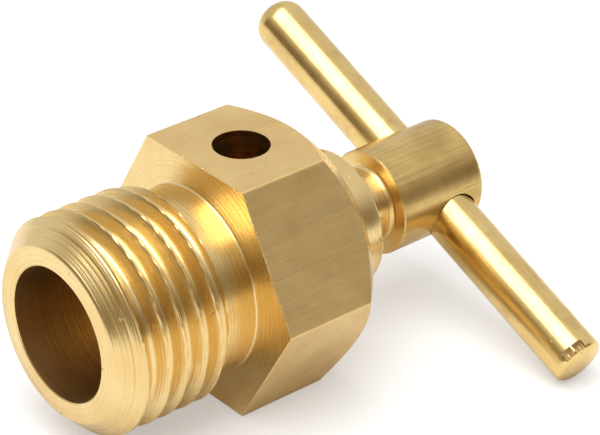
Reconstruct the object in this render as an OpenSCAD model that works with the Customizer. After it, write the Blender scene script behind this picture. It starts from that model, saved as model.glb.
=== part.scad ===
// Drain tap turned from hexagon bar: a body with a male pipe thread, a screwed
// spindle with a cone tip that closes the waterway, and a plain tommy bar.
// The axis of the tap is X. The origin is the centre of the inlet end face.
// The drain hole looks up, along Z. The tap lies on the flat opposite to it.

/* [Pipe thread] */
// Outside diameter of the pipe thread
thread_od = 20.95; // [17:0.05:26]
// Length of the threaded part, with its start chamfer
thread_len = 12.3; // [9:0.1:18]
// How far the start chamfer comes in from the outside of the thread
start_chamfer = 2.1; // [1:0.1:2.6]
// How far the relief neck lies below the outside of the thread
relief_depth = 1.5; // [1:0.1:1.9]
// Length of the relief neck, from the thread to the hexagon
relief_len = 3.35; // [2:0.05:6]

/* [Hexagon] */
// Width across the flats
hex_af = 23.8; // [22:0.1:32]
// Length along the axis, from the front face to the shoulder
hex_len = 12.3; // [11:0.1:18]
// How far the turned chamfer at the handle end comes in from the corners
far_chamfer = 2.95; // [2:0.05:3.5]
// The same at the front face, where it only takes the corners off
front_chamfer = 0.2; // [0.1:0.05:0.6]

/* [Boss] */
// Diameter of the round boss that carries the spindle
boss_d = 13.6; // [11.5:0.1:17]
// Length of the boss, from the shoulder of the hexagon
boss_len = 5.05; // [4:0.05:9]
// Radius of the boss's outer rim
boss_rim = 0.4; // [0.1:0.05:0.8]

/* [Waterway] */
// Diameter of the inlet bore
inlet_d = 13; // [10:0.1:15.8]
// Point angle of the drills
drill_angle = 118; // [90:1:140]
// Diameter of the seat hole
seat_d = 4; // [3:0.1:4.8]
// Thickness of the wall that the seat hole goes through
seat_wall = 2.3; // [1.5:0.1:4]
// Diameter of the drain hole in the upper flat
drain_d = 5.4; // [4:0.1:6.5]
// Distance from the front face of the hexagon to the middle of the drain hole
drain_place = 5.5; // [4:0.1:6.5]
// What is left of the chamber before and after the drain hole
drain_margin = 0.55; // [0.3:0.05:1]

/* [Spindle] */
// Outside diameter of the spindle's screw
screw_d = 8; // [6.6:0.1:9.6]
// Pitch of the screw: the hole is drilled and the neck turned this much smaller
screw_pitch = 1; // [0.75:0.05:1.25]
// Radial play between the screw and its thread in the body
screw_play = 0.05; // [0.02:0.01:0.1]
// Full angle of the cone tip
tip_angle = 60; // [45:1:90]
// Diameter of the flat at the end of the cone tip
tip_d = 2.2; // [1.5:0.1:2.9]
// Largest diameter of the cone
cone_d = 5; // [4.9:0.05:5.5]
// Diameter of the waist behind the cone, round which the water reaches the drain hole
waist_d = 4.2; // [3:0.1:4.8]
// Gap left between the cone and the edge of its seat
seat_gap = 0.05; // [0.02:0.01:0.1]
// Length of the neck that shows between boss and head when the tap is closed
head_gap = 4; // [3.2:0.1:8]
// Diameter of the head
head_d = 10.5; // [9:0.1:14]
// Length of the head
head_len = 10.25; // [9:0.05:14]
// Chamfer on the free rim of the head
head_chamfer = 0.45; // [0.2:0.05:0.7]
// Radius in the corner between neck and head
head_fillet = 0.5; // [0.2:0.05:0.8]

/* [Tommy bar] */
// Diameter of the bar
bar_d = 5.2; // [4.4:0.1:6.4]
// Length over both ends
bar_len = 49.5; // [38:0.1:70]
// How far the bar hangs down through the head from its middle
bar_slid = 0.2; // [0:0.05:8]
// Radius round the rim of the lower end
bar_edge = 0.6; // [0.2:0.05:1.2]
// How far the face of the lower end swells out
bar_dome = 0.25; // [0.1:0.05:0.4]
// Radius round the upper end
bar_top_edge = 2; // [0.5:0.1:2.1]
// What is left of the head between the bar's hole and the free end
head_wall = 0.85; // [0.6:0.05:3]
// Radial play of the bar in its hole
bar_play = 0.1; // [0.05:0.01:0.1]
// How far the bar is turned up from level, towards the back
bar_turn = 23.1; // [0:0.1:60]
// Depth of the two tool bites in the rim of the lower end
bite_depth = 0.22; // [0.1:0.01:0.3]

/* [Hidden] */
$fn = 96;
brass = "#d2a64a";
pale_brass = "#e0bd6a";
// How far the cutters reach past the faces they open
over = 1;
// How far a screw stands back from the ends of its thread
screw_back = 0.6;
// The screw ends this much further in, so that the mouth of the boss is clear
screw_mouth = 1.2;
// Countersink at the mouth of the tapped hole, and the chamfers on the screw
mouth_chamfer = 0.4;
screw_chamfer = 0.4;
// Break on the sharp front rim of the head
head_break = 0.12;
// The two bites: their angles round the bar, their radius and their place
bite_angles = [-108, -137];
bite_r = 0.9;
bite_len = 1.1;
bite_back = 0.75;

// Places along the axis, from the inlet end face
hex_x = thread_len + relief_len;
shoulder_x = hex_x + hex_len;
boss_x = shoulder_x + boss_len;
head_x = boss_x + head_gap;
head_end_x = head_x + head_len;
bar_hole_d = bar_d + 2 * bar_play;
bar_x = head_end_x - head_wall - bar_hole_d / 2;
drain_x = hex_x + drain_place;
// The waterway is drilled from both ends. The chamber ends just short of the drain
// hole, the seat is at the tip of its cone, and the inlet bore leaves the seat wall
drill_slope = tan(drill_angle / 2);
chamber_d = screw_d - screw_pitch;
tap_x = drain_x + drain_d / 2 + drain_margin;
chamber_x = drain_x - drain_d / 2 - drain_margin;
seat_x = chamber_x - (chamber_d - seat_d) / 2 / drill_slope;
seat_start_x = seat_x - seat_wall;
inlet_len = seat_start_x - (inlet_d - seat_d) / 2 / drill_slope;
// The cone is drawn back from its seat until the gap between them is seat_gap
tip_slope = tan(tip_angle / 2);
tip_touch_x = seat_x + seat_gap / sin(tip_angle / 2);
tip_x = tip_touch_x - (seat_d - tip_d) / 2 / tip_slope;
cone_x = tip_touch_x + (cone_d - seat_d) / 2 / tip_slope;
waist_x = cone_x + (cone_d - waist_d) / 2;
screw_x = tap_x + screw_back;
screw_end_x = boss_x - screw_mouth;
relief_d = thread_od - 2 * relief_depth;
hex_corner_r = hex_af / sqrt(3);
tap_d = screw_d + 2 * screw_play;

// Stands a profile drawn as [radius, distance] round the X axis
module turned() {
    rotate([0, 90, 0])
        rotate_extrude()
            children();
}

// Pipe thread at its outside diameter, with the start chamfer and the relief neck
module threaded_end() {
    turned()
        polygon([
            [0, 0],
            [thread_od / 2 - start_chamfer, 0],
            [thread_od / 2, start_chamfer],
            [thread_od / 2, thread_len - relief_depth / 2],
            [relief_d / 2, thread_len],
            [relief_d / 2, hex_x + over],
            [0, hex_x + over]
        ]);
}

// The hexagon bar with a flat on top, turned at both ends, so that the chamfers
// run out on the flats as arcs
module hexagon() {
    face_r = hex_corner_r - front_chamfer;
    end_r = hex_corner_r - far_chamfer;
    intersection() {
        translate([hex_x, 0, 0])
            rotate([0, 90, 0])
                rotate([0, 0, 30])
                    cylinder(r = hex_corner_r, h = hex_len, $fn = 6);
        turned()
            polygon([
                [0, hex_x],
                [face_r, hex_x],
                [face_r + far_chamfer, hex_x + far_chamfer],
                [end_r + far_chamfer + front_chamfer, shoulder_x - far_chamfer - front_chamfer],
                [end_r, shoulder_x],
                [0, shoulder_x]
            ]);
    }
}

// Round boss behind the shoulder, with a rounded outer rim
module boss() {
    turned()
        union() {
            translate([0, shoulder_x - over])
                square([boss_d / 2, boss_len + over - boss_rim]);
            translate([0, shoulder_x])
                square([boss_d / 2 - boss_rim, boss_len]);
            translate([boss_d / 2 - boss_rim, boss_x - boss_rim])
                circle(r = boss_rim);
        }
}

// Everything that is drilled and tapped along the axis, from both ends
module waterway() {
    turned()
        polygon([
            [0, -over],
            [inlet_d / 2, -over],
            [inlet_d / 2, inlet_len],
            [seat_d / 2, seat_start_x],
            [seat_d / 2, seat_x],
            [chamber_d / 2, chamber_x],
            [chamber_d / 2, tap_x],
            [tap_d / 2, tap_x],
            [tap_d / 2, boss_x - mouth_chamfer],
            [tap_d / 2 + mouth_chamfer, boss_x],
            [tap_d / 2 + mouth_chamfer, boss_x + over],
            [0, boss_x + over]
        ]);
}

// The drain hole, from the upper flat down to the chamber
module drain_hole() {
    translate([drain_x, 0, 0])
        cylinder(d = drain_d, h = hex_af / 2 + over);
}

module body() {
    color(brass)
        difference() {
            union() {
                threaded_end();
                hexagon();
                boss();
            }
            waterway();
            drain_hole();
        }
}

// Half outline of the spindle: cone tip, waist, screw, neck and head, turned in one
module spindle_profile() {
    screw_r = screw_d / 2;
    neck_r = (screw_d - screw_pitch) / 2;
    head_r = head_d / 2;
    polygon([
        [0, tip_x],
        [tip_d / 2, tip_x],
        [cone_d / 2, cone_x],
        [waist_d / 2, waist_x],
        [waist_d / 2, screw_x],
        [screw_r - screw_chamfer, screw_x],
        [screw_r, screw_x + screw_chamfer],
        [screw_r, screw_end_x - screw_chamfer],
        [screw_r - screw_chamfer, screw_end_x],
        [neck_r, screw_end_x],
        [neck_r, head_x],
        [head_r - head_break, head_x],
        [head_r, head_x + head_break],
        [head_r, head_end_x - head_chamfer],
        [head_r - head_chamfer, head_end_x],
        [0, head_end_x]
    ]);
    // The corner between neck and head is left round by the tool
    difference() {
        translate([0, head_x - head_fillet])
            square([neck_r + head_fillet, 2 * head_fillet]);
        translate([neck_r + head_fillet, head_x - head_fillet])
            circle(r = head_fillet);
    }
}

// Lays a thing that stands on Z along the tommy bar's own direction
module along_bar() {
    translate([bar_x, 0, 0])
        rotate([bar_turn - 90, 0, 0])
            children();
}

module spindle() {
    color(brass)
        difference() {
            turned()
                spindle_profile();
            along_bar()
                cylinder(d = bar_hole_d, h = head_d + 2 * over, center = true);
        }
}

// Half outline of the bar, from its lower end at 0 upwards. The lower end is cut
// square with a round rim and a swelling face, the upper end is well rounded
module bar_profile() {
    r = bar_d / 2;
    face_r = r - bar_edge;
    rim_start = bar_dome + bar_edge;
    dome_r = (face_r * face_r + bar_dome * bar_dome) / 2 / bar_dome;
    top_start = bar_len - bar_top_edge;
    intersection() {
        square([r, bar_len]);
        union() {
            intersection() {
                square([face_r, rim_start]);
                translate([0, dome_r])
                    circle(r = dome_r);
            }
            translate([face_r, rim_start])
                circle(r = bar_edge);
            translate([0, rim_start])
                square([r, top_start - rim_start]);
            translate([0, rim_start])
                square([r - bar_top_edge, bar_len - rim_start]);
            translate([r - bar_top_edge, top_start])
                circle(r = bar_top_edge);
        }
    }
}

// One bite of a gripping tool in the rim of the lower end
module bite(angle) {
    rotate([0, 0, angle])
        translate([bar_d / 2 - bite_depth + bite_r, 0, bite_back])
            rotate([90, 0, 0])
                cylinder(r = bite_r, h = bite_len, center = true);
}

module tommy_bar() {
    color(pale_brass)
        along_bar()
            translate([0, 0, -bar_len / 2 - bar_slid])
                difference() {
                    rotate_extrude()
                        bar_profile();
                    for (angle = bite_angles)
                        bite(angle);
                }
}

body();
spindle();
tommy_bar();
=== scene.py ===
"""Looks of the brass drain tap with a sliding tommy bar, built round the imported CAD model."""

import math

import bmesh
import bpy
from mathutils import Matrix, Vector, noise


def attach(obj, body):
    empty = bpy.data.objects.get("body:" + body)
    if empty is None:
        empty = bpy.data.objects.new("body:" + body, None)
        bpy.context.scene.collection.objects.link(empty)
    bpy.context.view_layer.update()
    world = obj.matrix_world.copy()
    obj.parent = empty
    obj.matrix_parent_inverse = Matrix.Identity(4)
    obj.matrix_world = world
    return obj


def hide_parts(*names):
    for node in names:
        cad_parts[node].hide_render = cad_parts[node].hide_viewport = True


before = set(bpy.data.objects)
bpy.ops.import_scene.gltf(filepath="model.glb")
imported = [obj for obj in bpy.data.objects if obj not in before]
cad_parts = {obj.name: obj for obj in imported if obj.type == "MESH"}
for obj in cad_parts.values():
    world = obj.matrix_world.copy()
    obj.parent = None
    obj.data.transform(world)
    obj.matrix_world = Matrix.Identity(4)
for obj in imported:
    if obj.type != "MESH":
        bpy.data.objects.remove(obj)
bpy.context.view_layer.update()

MM = 0.001

# Places along the axis of the tap, in millimetres from the inlet end face
THREAD_R = 10.475
PITCH = 2.0
THREAD_DEPTH = 1.28
CREST_HALF = 0.09
ROOT_ROUND = 0.4
FLANK = math.radians(62.5)
CREST_AT_TOP = 4.05
# The first groove fades in, and lies a little nearer to the end than the pitch would give
FIRST_GROOVE = (2.2, 2.9)
FIRST_SHIFT = 0.3
# The die wandered this much to and fro
WANDER = 0.06
START_R = 8.375
START_END_X = 2.1
# The last turn is cut down to a thin end before the relief neck
LAST_CREST_X = 10.6
RUNOUT_X = 11.6
RUNOUT_DROP = 0.33
THREAD_END_X = 12.3
NECK_R = 8.975
HEX_X = 15.65
HEX_HALF = 11.9
SHOULDER_X = 27.95
SHOULDER_R = 10.791
BOSS_R = 6.8
BOSS_X = 33.0
BORE_R = 6.5
DRAIN_X = 21.15
DRAIN_R = 2.7
HEAD_X = 37.0
HEAD_END_X = 47.25
HEAD_R = 5.25
BAR_X = 43.70
BAR_R = 2.6
BAR_LOW = -24.95
BAR_TOP = 24.55
BAR_RIM = 0.6
BAR_DOME = 0.25
BAR_TOP_EDGE = 2.0
BAR_HOLE_R = 2.7
BAR_TURN = math.radians(23.1)

BODY_COLUMNS = 288


# ---- shapes ----

def ease(low, high, value):
    """0 below low, 1 above high, and a smooth way between."""
    t = min(max((value - low) / (high - low), 0.0), 1.0)
    return t * t * (3 - 2 * t)


def course(start, end, count):
    """Points on a straight cut, from after its start to its end."""
    return [
        (start[0] + (end[0] - start[0]) * i / count, start[1] + (end[1] - start[1]) * i / count)
        for i in range(1, count + 1)
    ]


def arc(centre, radius, first, last, count):
    """Points on a round between two angles, in degrees from the axis."""
    points = []
    for i in range(count + 1):
        a = math.radians(first + (last - first) * i / count)
        points.append((centre[0] + radius * math.cos(a), centre[1] + radius * math.sin(a)))
    return points


def spin_outline(outline, columns, closed):
    """A bmesh of a half outline of (x, r) points, turned once round the X axis.

    The layer "row" keeps which point of the outline each vertex comes from.
    """
    bm = bmesh.new()
    row = bm.verts.layers.int.new("row")
    verts = [bm.verts.new((x * MM, 0, r * MM)) for x, r in outline]
    for i, vert in enumerate(verts):
        vert[row] = i
    pairs = list(zip(verts, verts[1:] + verts[:1] if closed else verts[1:]))
    edges = [bm.edges.new(pair) for pair in pairs]
    bmesh.ops.spin(
        bm, geom=verts + edges, cent=(0, 0, 0), axis=(1, 0, 0), dvec=(0, 0, 0),
        angle=2 * math.pi, steps=columns, use_merge=True, use_duplicate=False,
    )
    bmesh.ops.remove_doubles(bm, verts=bm.verts, dist=1e-7)
    bmesh.ops.recalc_face_normals(bm, faces=bm.faces)
    return bm


def finished(name, bm, finishes, sharp=32):
    """The object of a bmesh, smooth but for its real edges."""
    mesh = bpy.data.meshes.new(name)
    bm.to_mesh(mesh)
    bm.free()
    piece = bpy.data.objects.new(name, mesh)
    bpy.context.scene.collection.objects.link(piece)
    for finish in finishes:
        mesh.materials.append(finish)
    mesh.shade_smooth()
    mesh.set_sharp_from_angle(angle=math.radians(sharp))
    return piece


def drill(piece, radius, depth, place, columns=96):
    """Cuts a round hole. place is the matrix of its middle, with the hole along Z."""
    bm = bmesh.new()
    bmesh.ops.create_cone(
        bm, cap_ends=True, segments=columns, radius1=radius * MM, radius2=radius * MM,
        depth=depth * MM, matrix=place,
    )
    mesh = bpy.data.meshes.new("drill")
    bm.to_mesh(mesh)
    bm.free()
    cutter = bpy.data.objects.new("drill", mesh)
    bpy.context.scene.collection.objects.link(cutter)
    cut = piece.modifiers.new("drill", "BOOLEAN")
    cut.operation = "DIFFERENCE"
    cut.solver = "EXACT"
    cut.object = cutter
    with bpy.context.temp_override(object=piece, active_object=piece):
        bpy.ops.object.modifier_apply(modifier=cut.name)
    bpy.data.objects.remove(cutter)
    bpy.data.meshes.remove(mesh)


def thread_radius(x, angle):
    """Radius of the pipe thread at a place, with narrow ragged crests and round roots."""
    x += FIRST_SHIFT * (1 - ease(2.4, 3.6, x)) - WANDER * math.sin((x - 7.6) * 1.5)
    groove = CREST_AT_TOP + PITCH * (0.5 + (angle - math.pi / 2) / (2 * math.pi))
    groove += round((x - groove) / PITCH) * PITCH
    off = PITCH / 2 - abs(x - groove)
    left = PITCH / 2 - off
    if left < ROOT_ROUND * math.sin(FLANK):
        drop = THREAD_DEPTH - ROOT_ROUND + math.sqrt(ROOT_ROUND ** 2 - left ** 2)
    else:
        drop = max(off - CREST_HALF, 0) * math.tan(FLANK)
    drop *= ease(FIRST_GROOVE[0], FIRST_GROOVE[1], groove)
    on_crest = max(0.0, 1 - off / 0.2)
    round_place = Vector((x * 0.9, math.cos(angle) * 16, math.sin(angle) * 16))
    ragged = 0.5 + 0.5 * noise.noise(round_place)
    nick = max(0.0, noise.noise(round_place * 0.6 + Vector((7, 0, 0))) - 0.35)
    return THREAD_R - drop - (0.05 * ragged + 0.25 * nick) * on_crest


# Specks of rough raised metal left on the thread: place along the axis, degrees round from the front, height
THREAD_SPECKS = [
    (2.28, 54, 0.13), (2.33, 50, 0.11), (4.05, 99, 0.07), (4.34, 72, 0.08), (4.6, 37, 0.10),
    (1.2, 34, 0.09), (6.5, 26, 0.09), (8.3, 15, 0.09), (2.5, 21, 0.16), (2.2, 18, 0.12), (2.1, 44, 0.07),
]


def speck_height(x, angle):
    """How far the specks of rough raised metal stand out of the thread at a place."""
    height = 0.0
    for speck_x, degrees, tall in THREAD_SPECKS:
        away = math.remainder(angle - math.pi + math.radians(degrees), 2 * math.pi) * THREAD_R
        height += tall * math.exp(-((x - speck_x) ** 2 + away ** 2) / 0.02)
    return height


def body_outline():
    """Half outline of the front of the tap body: end face, start chamfer, thread, run-out and neck up to the round
    at the hexagon.
    """
    points = [(0, BORE_R + 0.12), (0, START_R - 0.08), (0.06, START_R + 0.04)]
    points += course(points[-1], (1.28, 9.655), 10)
    points += [(1.34, 9.62), (1.42, 9.77)]
    points += course(points[-1], (1.9, 10.25), 5)
    points += [(1.95, 10.265), (2.0, 10.34), (START_END_X, THREAD_R - 0.05)]
    points += course((START_END_X, THREAD_R), (LAST_CREST_X, THREAD_R), 140)
    points += course(points[-1], (RUNOUT_X, THREAD_R - RUNOUT_DROP), 16)
    points += course(points[-1], (THREAD_END_X, NECK_R), 12)
    points += course(points[-1], (HEX_X - 0.22, NECK_R), 6)
    points += arc((HEX_X - 0.22, NECK_R + 0.22), 0.22, 270, 360, 4)[1:]
    return points


def make_body(finishes):
    """The tap body: one turned outline whose rings are then shaped into thread and hexagon."""
    front = body_outline()
    rows = ["turned"] * len(front)
    hex_rows = [("edge", i) for i in range(2)] + [("flat", i) for i in range(10)] + [("cone", i) for i in range(4)]
    hex_points = [(HEX_X, 11.0), (HEX_X + 0.09, 11.1)]
    hex_points += [(HEX_X + 0.1 + 0.9 * i, 11.5) for i in range(1, 11)]
    hex_points += [(SHOULDER_X - 0.9 + 0.3 * i, 11.2 - 0.1 * i) for i in range(1, 5)]
    back = [(SHOULDER_X, SHOULDER_R - 0.35)]
    back += [(SHOULDER_X, BOSS_R + 0.15), (SHOULDER_X + 0.05, BOSS_R + 0.04), (SHOULDER_X + 0.15, BOSS_R)]
    back += course(back[-1], (BOSS_X - 0.4, BOSS_R), 8)
    back += arc((BOSS_X - 0.4, BOSS_R - 0.4), 0.4, 90, 0, 5)[1:]
    back += [(BOSS_X, 4.45), (BOSS_X - 0.4, 4.05)]
    back += course(back[-1], (24.4, 4.05), 6)
    back += [(24.4, 3.5)]
    back += course(back[-1], (17.9, 3.5), 6)
    back += [(16.999, 2.0), (14.699, 2.0), (11.995, BORE_R)]
    back += course(back[-1], (0.1, BORE_R), 12)
    outline = front + hex_points + back
    kinds = rows + hex_rows + ["turned"] * len(back)
    bm = spin_outline(outline, BODY_COLUMNS, closed=True)
    row = bm.verts.layers.int["row"]
    for vert in bm.verts:
        x, r = vert.co.x / MM, math.hypot(vert.co.y, vert.co.z) / MM
        angle = math.atan2(vert.co.z, vert.co.y)
        kind = kinds[vert[row]]
        if kind != "turned":
            x, r, angle = hexagon_place(kind, x, angle)
        elif x < THREAD_END_X and r > START_R:
            if x > START_END_X and r > NECK_R:
                r = min(r, thread_radius(x, angle))
            r += speck_height(x, angle)
        vert.co = (x * MM, r * math.cos(angle) * MM, r * math.sin(angle) * MM)
    for face in bm.faces:
        middle = face.calc_center_median()
        x, r = middle.x / MM, math.hypot(middle.y, middle.z) / MM
        # Faces inside the bore and waterway take the darker drilled finish, a painted shade.
        inside = r < BORE_R + 0.05 and x < BOSS_X - 0.5 and not (x > SHOULDER_X and r > 5)
        on_flat = {kinds[vert[row]][0] for vert in face.verts} <= {"edge", "flat"}
        face.material_index = 2 if inside else 1 if on_flat else 0
    piece = finished("tap_body", bm, finishes)
    drill(piece, DRAIN_R, 12, Matrix.Translation((DRAIN_X * MM, 0, 8.2 * MM)))
    bm = bmesh.new()
    bm.from_mesh(piece.data)
    # The drain hole's wall takes the darker finish, a painted shade.
    for face in bm.faces:
        x, y, z = face.calc_center_median() / MM
        if z > 3 and abs(face.normal.z) < 0.3 and abs(math.hypot(x - DRAIN_X, y) - DRAIN_R) < 0.05:
            face.material_index = 3
    add_flecks(bm, 4)
    bm.to_mesh(piece.data)
    bm.free()
    piece.data.set_sharp_from_angle(angle=math.radians(32))
    return piece


def add_flecks(bm, finish):
    """Small chips of raised metal on the drain hole's rim and on the front edge of the hexagon; their pale finish
    is partly bright bare metal and partly a painted glint.
    """
    places = [(DRAIN_X + DRAIN_R * math.cos(math.radians(a)), DRAIN_R * math.sin(math.radians(a)), HEX_HALF)
              for a in (148, 152, 157, 232, 262, 305, 311)]
    corner = (-HEX_HALF / math.sqrt(3), HEX_HALF)
    next_corner = (-2 * HEX_HALF / math.sqrt(3), 0)
    for share in (0.02, 0.06, 0.22, 0.27, 0.31, 0.42, 0.47, 0.52, 0.6, 0.71, 0.78):
        places.append((
            HEX_X + 0.06, corner[0] + (next_corner[0] - corner[0]) * share,
            corner[1] + (next_corner[1] - corner[1]) * share,
        ))
    for share in (0.02, 0.05, 0.16, 0.33, 0.41, 0.62, 0.9):
        places.append((HEX_X + 0.06, corner[0] * (1 - 2 * share), HEX_HALF))
    for i, place in enumerate(places):
        size = (0.07 + 0.05 * noise.noise(Vector((i * 1.7, 0.3, 0)))) * MM
        turn = Matrix.Rotation(i * 2.4, 4, Vector((0.3, 0.5, 0.8)).normalized())
        shape = Matrix.Diagonal((1.5, 0.9, 0.6, 1))
        made = bmesh.ops.create_icosphere(
            bm, subdivisions=1, radius=size,
            matrix=Matrix.Translation(Vector(place) * MM) @ turn @ shape,
        )
        highest = max(vert.co.z for vert in made["verts"])
        sink = max(0.0, highest - (HEX_HALF + 0.01) * MM)
        bmesh.ops.translate(bm, verts=made["verts"], vec=(0, 0, -sink))
        for face in {face for vert in made["verts"] for face in vert.link_faces}:
            face.material_index = finish
            face.smooth = False


def hexagon_place(kind, x, angle):
    """Where a vertex of the hexagon's rows lies: on an edge, a flat or the turned chamfer."""
    sixth = math.pi / 3
    corner = round(angle / sixth) * sixth
    off = math.degrees(angle - corner)
    spread = [(0, 0), (1.25, 0.42), (2.5, 1.1), (3.75, 2.4), (5.0, 4.4), (30, 30)]
    for (a0, b0), (a1, b1) in zip(spread, spread[1:]):
        if abs(off) <= a1 + 1e-6:
            moved = b0 + (b1 - b0) * (abs(off) - a0) / (a1 - a0)
            break
    angle = corner + math.copysign(math.radians(moved), off)
    flat = math.floor(angle / sixth) * sixth + sixth / 2
    r = HEX_HALF / math.cos(angle - flat)
    if moved < 0.1:
        r -= 0.035
    row, i = kind
    arc_x = SHOULDER_X - (r - SHOULDER_R)
    if row == "edge":
        if i == 0:
            return HEX_X, r - 0.09, angle
        return HEX_X + 0.09, r, angle
    if row == "flat":
        start = HEX_X + 0.25
        return start + (arc_x - start) * i / 9, r, angle
    t = (i + 1) / 4
    return arc_x + (SHOULDER_X - arc_x) * t, r + (SHOULDER_R - r) * t, angle


def make_spindle(finishes):
    """The spindle: cone tip, screw, neck and head with the cross hole for the bar."""
    outline = [(15.54, 0), (15.54, 1.1), (17.97, 2.5), (18.37, 2.1), (25.0, 2.1), (25.0, 3.6), (25.4, 4.0)]
    outline += course(outline[-1], (31.4, 4.0), 60)
    outline += [(31.8, 3.6), (31.8, 3.5)]
    outline += course(outline[-1], (HEAD_X - 0.5, 3.5), 8)
    outline += arc((HEAD_X - 0.5, 4.0), 0.5, 270, 360, 5)[1:]
    outline += [(HEAD_X, HEAD_R - 0.12), (HEAD_X + 0.12, HEAD_R)]
    outline += course(outline[-1], (HEAD_END_X - 0.45, HEAD_R), 44)
    outline += arc((HEAD_END_X - 0.45, HEAD_R - 0.45), 0.45, 90, 0, 4)[1:]
    outline += [(HEAD_END_X, 0)]
    bm = spin_outline(outline, 192, closed=False)
    for vert in bm.verts:
        x, r = vert.co.x / MM, math.hypot(vert.co.y, vert.co.z) / MM
        if 25.5 < x < 31.3 and r > 3.9:
            angle = math.atan2(vert.co.z, vert.co.y)
            phase = (x - angle / (2 * math.pi)) % 1.0
            drop = 0.5 * (1 - abs(2 * phase - 1))
            vert.co.y *= (r - drop) / r
            vert.co.z *= (r - drop) / r
    for face in bm.faces:
        middle = face.calc_center_median()
        face.material_index = 1 if middle.x > (HEAD_X + 0.06) * MM else 0
    piece = finished("tap_spindle", bm, finishes)
    drill(piece, BAR_HOLE_R, 14, bar_place())
    piece.data.set_sharp_from_angle(angle=math.radians(32))
    return piece


def bar_place():
    """Where the bar lies, from standing on Z to its place through the head."""
    return Matrix.Translation((BAR_X * MM, 0, 0)) @ Matrix.Rotation(BAR_TURN - math.pi / 2, 4, "X")


# The two bites of the jaws that held the bar, in degrees round it, and the size of a bite
BITES = (-108, -137)
BITE_R = 0.9
BITE_HALF = 0.55
BITE_DEPTH = 0.22
BITE_BACK = 0.75
TOOTH = 0.17


def bite_depth(x, y, z):
    """How deep the jaws bit into the bar at a place on its rim, with the marks of their teeth."""
    r = math.hypot(x, y)
    for degrees in BITES:
        off = math.remainder(math.atan2(y, x) - math.radians(degrees), 2 * math.pi) * BAR_R
        back = z - BAR_LOW - BITE_BACK
        if abs(off) < BITE_HALF and abs(back) < BITE_R:
            bottom = BAR_R - BITE_DEPTH + BITE_R - math.sqrt(BITE_R ** 2 - back ** 2)
            tooth = abs(2 * ((off / TOOTH) % 1.0) - 1)
            if r > bottom:
                return r - bottom + 0.07 * tooth * ease(0, 0.12, r - bottom)
    return 0.0


def make_bar(finishes):
    """The tommy bar: a drawn rod, domed and bitten at its lower end and well rounded at its top."""
    face_r = BAR_R - BAR_RIM
    dome_r = (face_r ** 2 + BAR_DOME ** 2) / 2 / BAR_DOME
    outline = [(BAR_LOW, 0)]
    for i in range(1, 13):
        r = face_r * i / 12
        outline.append((BAR_LOW + dome_r - math.sqrt(dome_r ** 2 - r ** 2), r))
    outline += arc((BAR_LOW + BAR_DOME + BAR_RIM, face_r), BAR_RIM, 180, 90, 12)[1:]
    outline += course(outline[-1], (BAR_LOW + 2.2, BAR_R), 18)
    outline += course(outline[-1], (BAR_TOP - BAR_TOP_EDGE, BAR_R), 60)
    outline += arc((BAR_TOP - BAR_TOP_EDGE, BAR_R - BAR_TOP_EDGE), BAR_TOP_EDGE, 90, 0, 14)[1:]
    outline += [(BAR_TOP, 0)]
    bm = spin_outline(outline, 256, closed=False)
    bmesh.ops.rotate(bm, verts=bm.verts, cent=(0, 0, 0), matrix=Matrix.Rotation(-math.pi / 2, 3, "Y"))
    for vert in bm.verts:
        x, y, z = vert.co / MM
        depth = bite_depth(x, y, z)
        if depth > 0:
            share = 1 - depth / math.hypot(x, y)
            vert.co = Vector((x * share, y * share, z)) * MM
            for face in vert.link_faces:
                face.material_index = 1
    bmesh.ops.scale(bm, verts=bm.verts, vec=(1, 1, 0.9999))
    bmesh.ops.transform(bm, verts=bm.verts, matrix=bar_place())
    bmesh.ops.translate(bm, verts=bm.verts, vec=(-0.07 * MM, 0, 0))
    return finished("tap_tommy_bar", bm, finishes)


# ---- finishes ----

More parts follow.
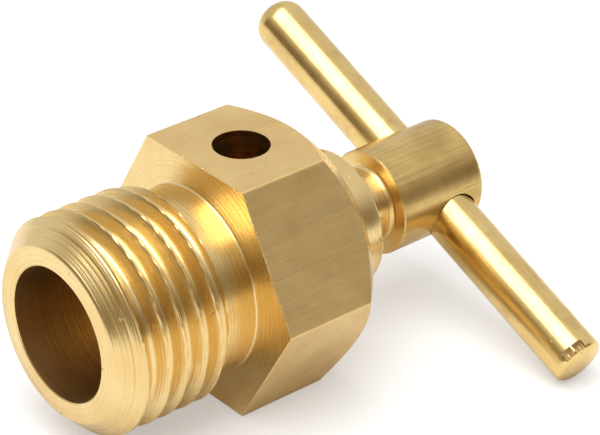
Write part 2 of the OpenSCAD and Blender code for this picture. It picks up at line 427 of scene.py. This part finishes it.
class Finish:
    """One finish, with short words for the nodes it is made of."""

    def __init__(self, name):
        self.material = bpy.data.materials.new(name)
        self.material.use_nodes = True
        self.tree = self.material.node_tree
        self.tree.nodes.clear()
        self.shader = self.node("ShaderNodeBsdfPrincipled")
        output = self.node("ShaderNodeOutputMaterial")
        self.tree.links.new(self.shader.outputs["BSDF"], output.inputs["Surface"])
        self.place = self.node("ShaderNodeTexCoord").outputs["Object"]

    def node(self, kind, **settings):
        made = self.tree.nodes.new(kind)
        for name, value in settings.items():
            setattr(made, name, value)
        return made

    def feed(self, socket, value):
        if isinstance(value, bpy.types.NodeSocket):
            self.tree.links.new(value, socket)
        else:
            socket.default_value = value

    def math(self, operation, *values, clamp=False):
        made = self.node("ShaderNodeMath", operation=operation, use_clamp=clamp)
        for socket, value in zip(made.inputs, values):
            self.feed(socket, value)
        return made.outputs[0]

    def vector(self, operation, *values):
        made = self.node("ShaderNodeVectorMath", operation=operation)
        for socket, value in zip(made.inputs, values):
            self.feed(socket, value)
        return made.outputs["Value" if operation in ("LENGTH", "DOT_PRODUCT") else "Vector"]

    def noise(self, place, scale, detail=2.0, rough=0.5):
        made = self.node("ShaderNodeTexNoise")
        self.feed(made.inputs["Vector"], place)
        made.inputs["Scale"].default_value = scale
        made.inputs["Detail"].default_value = detail
        made.inputs["Roughness"].default_value = rough
        return made.outputs["Fac"]

    def spots(self, place, scale, radius, share):
        """Round spots: a share of the cells holds one of about this radius, in cells."""
        made = self.node("ShaderNodeTexVoronoi")
        self.feed(made.inputs["Vector"], place)
        made.inputs["Scale"].default_value = scale
        near = self.span(made.outputs["Distance"], radius, radius * 0.4, 0, 1)
        red = self.node("ShaderNodeSeparateColor")
        self.feed(red.inputs[0], made.outputs["Color"])
        chosen = self.math("LESS_THAN", red.outputs[0], share)
        return self.math("MULTIPLY", near, chosen)

    def span(self, value, low, high, to_low=0.0, to_high=1.0):
        made = self.node("ShaderNodeMapRange", clamp=True)
        for socket, given in zip(made.inputs, (value, low, high, to_low, to_high)):
            self.feed(socket, given)
        return made.outputs["Result"]

    def mix(self, amount, first, second):
        made = self.node("ShaderNodeMix", data_type="RGBA")
        self.feed(made.inputs["Factor"], amount)
        self.feed(made.inputs[6], first)
        self.feed(made.inputs[7], second)
        return made.outputs[2]

    def bump(self, height, depth, under=None):
        """Relief of a height from 0 to 1, depth in millimetres."""
        made = self.node("ShaderNodeBump")
        made.inputs["Strength"].default_value = 1.0
        made.inputs["Distance"].default_value = depth * MM
        self.feed(made.inputs["Height"], height)
        if under is not None:
            self.feed(made.inputs["Normal"], under)
        return made.outputs["Normal"]


def turned_place(f, centre=(0, 0, 0), axis="X"):
    """The distance along and from an axis, so that a pattern on it runs in rings."""
    place = f.vector("SUBTRACT", f.place, [c * MM for c in centre])
    parts = f.node("ShaderNodeSeparateXYZ")
    f.feed(parts.inputs[0], place)
    radial = f.vector("MULTIPLY", place, (0, 1, 1) if axis == "X" else (1, 1, 0))
    made = f.node("ShaderNodeCombineXYZ")
    wander = f.math("MULTIPLY", f.noise(f.place, 120, 1), 0.00006)
    f.feed(made.inputs[0], f.math("ADD", parts.outputs[0 if axis == "X" else 2], wander))
    f.feed(made.inputs[1], f.vector("LENGTH", radial))
    return made.outputs[0]


def lengthwise_place(f, turn, along):
    """The place drawn out along a piece, so that a pattern on it runs in streaks."""
    mapping = f.node("ShaderNodeMapping", vector_type="TEXTURE")
    f.feed(mapping.inputs["Vector"], f.place)
    mapping.inputs["Rotation"].default_value = turn
    return f.vector("MULTIPLY", mapping.outputs[0], along)


def brass(f, place, pale, deep, rough, tool_marks, pits=0.0, stain=0.0, contrast=1.0):
    """Bare brass. tool_marks lists (spacing mm, depth mm) of the marks that follow place."""
    cloud = f.noise(f.place, 190, 3, 0.6)
    fine = f.noise(place, 3500, 3, 0.6)
    tone = f.math("MULTIPLY_ADD", fine, 0.5 * contrast, f.math("MULTIPLY", cloud, 0.9))
    middle = 0.45 + 0.25 * contrast
    colour = f.mix(f.span(tone, middle - 0.25, middle + 0.25), pale, deep)
    if stain:
        patch = f.span(f.noise(f.place, 420, 4, 0.65), 0.5, 0.72, 0, stain)
        colour = f.mix(patch, colour, (0.42, 0.25, 0.08, 1))
    normal = None
    for spacing, depth in tool_marks:
        normal = f.bump(f.noise(place, 1 / (spacing * MM), 1.5, 0.6), depth, normal)
    if pits:
        pit = f.spots(f.place, 700, 0.09, pits)
        colour = f.mix(f.math("MULTIPLY", pit, 0.7), colour, (0.16, 0.08, 0.02, 1))
        normal = f.bump(f.math("SUBTRACT", 1.0, pit), 0.03, normal)
    f.feed(f.shader.inputs["Base Color"], colour)
    f.shader.inputs["Metallic"].default_value = 1.0
    f.feed(f.shader.inputs["Roughness"], f.span(fine, 0.25, 0.75, rough[0], rough[1]))
    f.feed(f.shader.inputs["Normal"], normal)
    return f.material


# ---- studio ----

def make_floor():
    """A white floor that keeps the tap's shadow and shows in the metal as it shows to the camera."""
    bm = bmesh.new()
    bmesh.ops.create_circle(bm, cap_ends=True, segments=64, radius=4.0)
    bmesh.ops.translate(bm, verts=bm.verts, vec=(0.025, 0, -0.0119))
    mesh = bpy.data.meshes.new("floor")
    bm.to_mesh(mesh)
    bm.free()
    floor = bpy.data.objects.new("floor", mesh)
    bpy.context.scene.collection.objects.link(floor)
    material = bpy.data.materials.new("white floor")
    material.use_nodes = True
    tree = material.node_tree
    tree.nodes.clear()
    output = tree.nodes.new("ShaderNodeOutputMaterial")
    diffuse = tree.nodes.new("ShaderNodeBsdfDiffuse")
    glow = tree.nodes.new("ShaderNodeEmission")
    seen = tree.nodes.new("ShaderNodeLightPath")
    paint = tree.nodes.new("ShaderNodeMix")
    paint.data_type = "RGBA"
    paint.inputs[6].default_value = (0.80, 0.80, 0.80, 1)
    paint.inputs[7].default_value = (0.62, 0.62, 0.62, 1)
    tree.links.new(seen.outputs["Is Camera Ray"], paint.inputs["Factor"])
    tree.links.new(paint.outputs[2], diffuse.inputs["Color"])
    mirrored = tree.nodes.new("ShaderNodeMath")
    mirrored.operation = "ADD"
    tree.links.new(seen.outputs["Is Glossy Ray"], mirrored.inputs[0])
    tree.links.new(seen.outputs["Is Transmission Ray"], mirrored.inputs[1])
    mirrored_glow = tree.nodes.new("ShaderNodeMath")
    mirrored_glow.operation = "MULTIPLY"
    mirrored_glow.inputs[1].default_value = 0.08
    tree.links.new(mirrored.outputs[0], mirrored_glow.inputs[0])
    strength = tree.nodes.new("ShaderNodeMath")
    strength.operation = "MULTIPLY_ADD"
    strength.inputs[1].default_value = 0.38
    tree.links.new(seen.outputs["Is Camera Ray"], strength.inputs[0])
    tree.links.new(mirrored_glow.outputs[0], strength.inputs[2])
    tree.links.new(strength.outputs[0], glow.inputs["Strength"])
    both = tree.nodes.new("ShaderNodeAddShader")
    tree.links.new(diffuse.outputs[0], both.inputs[0])
    tree.links.new(glow.outputs[0], both.inputs[1])
    tree.links.new(both.outputs[0], output.inputs["Surface"])
    floor.data.materials.append(material)
    return floor


def make_studio():
    """The pale room round the table, darker on the photographer's side, and the soft box above."""
    world = bpy.data.worlds.new("studio")
    bpy.context.scene.world = world
    world.use_nodes = True
    tree = world.node_tree
    tree.nodes.clear()
    output = tree.nodes.new("ShaderNodeOutputWorld")
    background = tree.nodes.new("ShaderNodeBackground")
    tree.links.new(background.outputs[0], output.inputs["Surface"])
    place = tree.nodes.new("ShaderNodeTexCoord")
    parts = tree.nodes.new("ShaderNodeSeparateXYZ")
    tree.links.new(place.outputs["Generated"], parts.inputs[0])
    side = tree.nodes.new("ShaderNodeVectorMath")
    side.operation = "DOT_PRODUCT"
    side.inputs[1].default_value = (-0.654, -0.757, 0)
    tree.links.new(place.outputs["Generated"], side.inputs[0])

    def span(value, low, high, to_low, to_high):
        made = tree.nodes.new("ShaderNodeMapRange")
        made.interpolation_type = "SMOOTHSTEP"
        tree.links.new(value, made.inputs[0])
        for socket, given in zip(list(made.inputs)[1:5], (low, high, to_low, to_high)):
            socket.default_value = given
        return made.outputs[0]

    def product(a, b):
        made = tree.nodes.new("ShaderNodeMath")
        made.operation = "MULTIPLY"
        tree.links.new(a, made.inputs[0])
        tree.links.new(b, made.inputs[1])
        return made.outputs[0]

    room_side = span(side.outputs["Value"], -0.40, 0.05, 0, 1)
    room_low = span(parts.outputs[2], 0.28, 0.78, 1, 0)
    tone = tree.nodes.new("ShaderNodeMix")
    tone.data_type = "RGBA"
    tree.links.new(product(room_side, room_low), tone.inputs["Factor"])
    tone.inputs[6].default_value = (0.80, 0.80, 0.80, 1)
    tone.inputs[7].default_value = (0.26, 0.215, 0.15, 1)
    tree.links.new(tone.outputs[2], background.inputs["Color"])

    box = bpy.data.lights.new("soft box", "AREA")
    box.shape = "RECTANGLE"
    box.size = 0.44
    box.size_y = 0.39
    level_of_box = 3.1
    box.energy = level_of_box * math.pi * box.size * box.size_y
    holder = bpy.data.objects.new("soft box", box)
    holder.location = (-0.106, -0.035, 0.40)
    bpy.context.scene.collection.objects.link(holder)


def make_camera():
    """The photographer's place, from the fit of the photograph."""
    camera = bpy.data.cameras.new("camera")
    camera.sensor_width = 36
    camera.lens = 169.73
    camera.clip_start = 0.01
    camera.clip_end = 20
    holder = bpy.data.objects.new("camera", camera)
    right = Vector((0.76090, -0.64876, 0.01162))
    up = Vector((0.32106, 0.39200, 0.86212))
    back = Vector((-0.56387, -0.65226, 0.50657))
    turn = Matrix((right, up, back)).transposed().to_4x4()
    holder.matrix_world = Matrix.Translation((-0.12146, -0.17325, 0.13612)) @ turn
    bpy.context.scene.collection.objects.link(holder)
    bpy.context.scene.camera = holder


make_camera()
make_studio()
make_floor()

f = Finish("turned brass")
turned = brass(
    f, turned_place(f), (0.86, 0.665, 0.33, 1), (0.76, 0.52, 0.20, 1), (0.18, 0.32),
    [(0.26, 0.036), (0.085, 0.010)], pits=0.10,
)
f = Finish("drawn hexagon brass")
flats = brass(
    f, lengthwise_place(f, (0, 0, 0), (0.03, 1, 1)), (0.82, 0.61, 0.28, 1), (0.69, 0.47, 0.19, 1), (0.38, 0.5),
    [(0.12, 0.0016)], pits=0.05, stain=0.15,
)
# Darker brass for the bore and waterway: painted shade inside the holes.
f = Finish("drilled brass")
drilled_with_painted_shade = brass(
    f, turned_place(f), (0.70, 0.49, 0.21, 1), (0.50, 0.32, 0.12, 1), (0.28, 0.45),
    [(0.3, 0.03), (0.09, 0.006)], pits=0.1,
)
# Darker brass for the drain hole's wall: painted shade inside the hole.
f = Finish("drain hole brass")
drain_hole_with_painted_shade = brass(
    f, turned_place(f, (DRAIN_X, 0, 0), "Z"), (0.66, 0.44, 0.17, 1), (0.50, 0.31, 0.11, 1), (0.22, 0.34),
    [(0.35, 0.008)],
)
# Pale finish of the chips: partly bright bare metal, partly a painted glint standing in for their highlights.
f = Finish("burr brass")
burr_with_painted_glint = brass(
    f, f.place, (0.95, 0.84, 0.60, 1), (0.85, 0.68, 0.40, 1), (0.2, 0.3), [(0.1, 0.004)],
)
f = Finish("drawn head brass")
drawn = brass(
    f, lengthwise_place(f, (0, 0, 0), (0.03, 1, 1)), (0.80, 0.58, 0.23, 1), (0.52, 0.34, 0.12, 1), (0.24, 0.38),
    [(0.16, 0.004)], pits=0.05, stain=0.2, contrast=1.8,
)
f = Finish("bright drawn bar brass")
bright = brass(
    f, lengthwise_place(f, (BAR_TURN, 0, 0), (1, 0.03, 1)), (0.87, 0.65, 0.27, 1), (0.70, 0.48, 0.18, 1),
    (0.16, 0.28), [(0.2, 0.0022)], pits=0.06, stain=0.4,
)
f = Finish("bitten bar brass")
bitten = brass(
    f, f.place, (0.55, 0.40, 0.18, 1), (0.34, 0.22, 0.08, 1), (0.35, 0.5), [(0.1, 0.01)],
)

body = make_body([turned, flats, drilled_with_painted_shade, drain_hole_with_painted_shade, burr_with_painted_glint])
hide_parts("body")
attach(body, "body")

spindle = make_spindle([turned, drawn])
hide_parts("spindle")
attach(spindle, "spindle")

bar = make_bar([bright, bitten])
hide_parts("tommy_bar")
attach(bar, "bar")

bpy.context.scene.view_settings.view_transform = "Standard"
